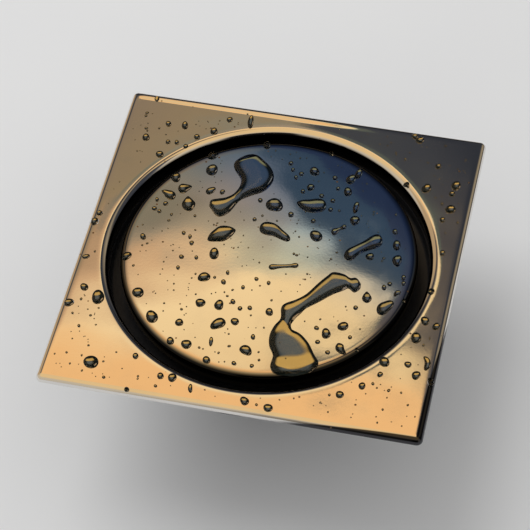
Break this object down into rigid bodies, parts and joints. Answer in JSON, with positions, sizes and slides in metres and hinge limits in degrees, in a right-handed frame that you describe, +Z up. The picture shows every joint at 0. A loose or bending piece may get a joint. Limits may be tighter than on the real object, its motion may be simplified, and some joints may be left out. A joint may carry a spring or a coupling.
{
  "type": "square floor drain",
  "caption": "Square floor drain with a flush round cover inside a ring-shaped slot, strainer basket, sprung odour valve and vertical outlet.",
  "frame": {"origin": "middle of the round cover at finished floor level", "axes": "+Z up, out of the floor; X and Y square to the sides of the frame"},
  "size_m": [0.15, 0.15, 0.072],
  "materials": {
    "polished_steel": "mirror polished stainless steel sheet",
    "satin_steel": "satin stainless steel",
    "black_plastic": "moulded, fine grain",
    "grey_plastic": "moulded, satin",
    "black_rubber": "matt",
    "clear_silicone": "milky, soft sheen"
  },
  "bodies": {
    "drain": {"frame_plate": "polished_steel", "cover_disc": "polished_steel", "cover_stand": "satin_steel", "cover_foot_1": "black_rubber", "cover_foot_2": "black_rubber", "cover_foot_3": "black_rubber", "cover_foot_4": "black_rubber", "drain_body": "black_plastic", "collar_gasket": "black_rubber", "frame_studs": "satin_steel", "stud_washers": "satin_steel", "stud_nuts": "satin_steel", "strainer_basket": "satin_steel", "basket_handle": "satin_steel", "valve_tube": "grey_plastic", "valve_flange_seal": "black_rubber", "valve_o_ring": "black_rubber", "valve_spring": "satin_steel"},
    "valve": {"valve_stem": "satin_steel", "valve_cap": "grey_plastic", "valve_cap_seal": "clear_silicone", "valve_nut": "satin_steel", "spring_plate": "grey_plastic", "stem_clip": "satin_steel"}
  },
  "joints": [
    {"name": "valve_drop", "type": "slide", "parent": "drain", "child": "valve", "axis": [0, 0, -1], "range_m": [0, 0.006], "stiffness_N_per_m": 40, "springref_m": -0.02, "deforming": ["valve_spring"]}
  ]
}
